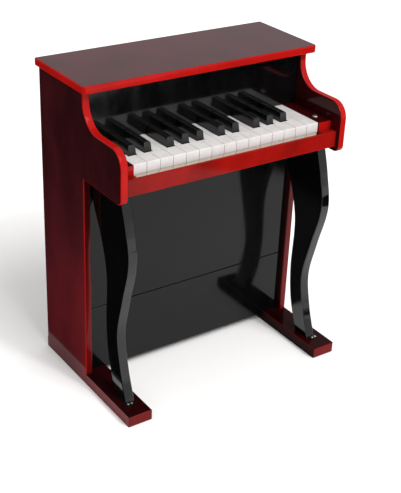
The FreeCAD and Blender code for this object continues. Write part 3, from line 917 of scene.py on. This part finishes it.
def makeLegPlates():
    low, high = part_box("leg_plates")
    legs = [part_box(node) for node in ("bass_leg", "treble_leg")]
    pieces = []
    for legLow, legHigh in legs:
        outward = 1 if legLow.x > 0 else -1
        x = (legLow.x + legHigh.x) / 2
        xs = sorted((x - outward * plateShape["inside"], x + outward * plateShape["outside"]))
        plate = startBox("plate", (xs[0], low.y, low.z), (xs[1], high.y, low.z + plateShape["thickness"]))
        pickEdges(plate, lambda at, along: abs(along.z) > 0.9)
        bevelPicked(plateShape["corner"], 3)
        pickEdges(plate, lambda at, along: at.z > low.z + plateShape["thickness"] - 1e-5, 60)
        bevelPicked(plateShape["thickness"] / 4, 2)
        closePiece(plate)
        dress(plate, legBlack)   # painted over with the leg
        pieces.append(plate)
        yHead, zPlate = high.y - plateShape["headSetback"], low.z + plateShape["thickness"]
        for shift in (0, outward * plateShape["apart"]):
            head = startCylinder("plateScrew", plateShape["headRadius"],
                                 (x + shift, yHead, zPlate),
                                 plateShape["headHeight"], 24)
            pickEdges(head, lambda at, along: at.z > high.z - 1e-5, 60)
            bevelPicked(plateShape["headHeight"] * 0.6, 4)
            closePiece(head)
            dress(head, nickel)
            pieces.append(head)
    joined = joinPieces(pieces, "legPlates")
    return place(joined, "case", "screw_steel", "leg_plates")


makeLegPlates()
for master in (masterScrew, blockScrew):
    bpy.data.objects.remove(master)
print("fixings done")

# ---- hidden frame pieces keep their CAD shape and get their finish ----

finishes = {
    "bare_wood": boardWood, "spring_steel": steel, "screw_steel": nickel, "felt": redFelt, "cast_bar": iron,
    "red_lacquer": slipRed, "black_lacquer": legBlack, "back_board": backPaint,
    "white_key": whitePlastic, "black_key": blackPlastic,
}
slots = {row["node"]: row["material_slot"] for row in frame["record"]["subparts"]}
for node, piece in frame["nodes"].items():
    piece.data.materials.clear()
    piece.data.materials.append(finishes[slots[node]])

# ---- stage ----

stageLook = {
    "floorSize": 12.0, "floor": [(0.3, "#f9f8f7"), (0.7, "#fcfbfa")], "floorBlotch": 0.4,
    "card": "#060606",
    "world": "#ffffff", "worldStrength": 0.72,
}

bpy.ops.object.select_all(action="DESELECT")
bpy.ops.mesh.primitive_plane_add(size=stageLook["floorSize"], location=(0, 0, 0))
floor = bpy.context.object
floor.name = "floor"
material, tree, shader, spot = startMaterial("paperFloor")
fleck = grain(tree, spot, (1, 1, 1), stageLook["floorBlotch"])
tone = addNode(tree, "ShaderNodeValToRGB", inputs={"Fac": fleck}, stops=stageLook["floor"])
setShader(tree, shader, baseColor=tone.outputs["Color"], roughness=0.9, specularIORLevel=0.2)
floor.data.materials.append(material)

cards = [
    # black cards lying beside the set, seen only in the gloss: name, middle, size, turn in degrees
    ("leftCard", (-2.22, -1.0, 0.0006), (4.0, 8.0), 0),
    ("rightCard", (2.81, -0.363, 0.0006), (4.0, 3.29), -23),
]
for name, middle, size, turn in cards:
    bpy.ops.object.select_all(action="DESELECT")
    bpy.ops.mesh.primitive_plane_add(size=1, location=middle, rotation=(0, 0, math.radians(turn)))
    card = bpy.context.object
    card.name = name
    card.scale = (size[0], size[1], 1)
    card.visible_camera = card.visible_diffuse = card.visible_shadow = card.visible_transmission = False
    material, tree, shader, spot = startMaterial(name + "Paper")
    setShader(tree, shader, baseColor=colour(stageLook["card"]), roughness=1.0, specularIORLevel=0.0)
    card.data.materials.append(material)

world = bpy.data.worlds.new("studio")
world.use_nodes = True
world.node_tree.nodes["Background"].inputs["Color"].default_value = colour(stageLook["world"])
world.node_tree.nodes["Background"].inputs["Strength"].default_value = stageLook["worldStrength"]
bpy.context.scene.world = world

lamps = [
    # far studio lamps: name, azimuth, elevation and width in degrees, strength
    ("softKey", 14, 50, 34, 1.9),    # wide and even
    ("crispKey", 16, 44, 5, 0.75),   # narrow, for small highlights on the rounded edges
]
for name, azimuth, elevation, width, strength in lamps:
    lamp = bpy.data.lights.new(name, "SUN")
    lamp.angle = math.radians(width)
    lamp.energy = strength
    rig = bpy.data.objects.new(name, lamp)
    a, e = math.radians(azimuth), math.radians(elevation)
    way = Vector((math.sin(a) * math.cos(e), -math.cos(a) * math.cos(e), math.sin(e)))
    rig.rotation_euler = (-way).to_track_quat("-Z", "Y").to_euler()
    bpy.context.scene.collection.objects.link(rig)

cameraRig = {"target": (0.0, -0.0156, 0.2014), "azimuth": -35.51, "elevation": 27.93, "roll": 2.47,
              "distance": 1.6826, "lens": 77.41}


def makeCamera():
    a, e, r = [math.radians(cameraRig[key]) for key in ("azimuth", "elevation", "roll")]
    back = Vector((math.sin(a) * math.cos(e), -math.cos(a) * math.cos(e), math.sin(e)))
    right = Vector((0, 0, 1)).cross(back).normalized()
    up = back.cross(right)
    rolledRight = math.cos(r) * right + math.sin(r) * up
    rolledUp = math.cos(r) * up - math.sin(r) * right
    data = bpy.data.cameras.new("camera")
    data.lens = cameraRig["lens"]
    data.sensor_width = 36.0
    camera = bpy.data.objects.new("camera", data)
    camera.matrix_world = Matrix.Translation(Vector(cameraRig["target"]) + back * cameraRig["distance"]) \
        @ Matrix((rolledRight, rolledUp, back)).transposed().to_4x4()
    bpy.context.scene.collection.objects.link(camera)
    bpy.context.scene.camera = camera


makeCamera()
bpy.context.scene.view_settings.view_transform = "Standard"
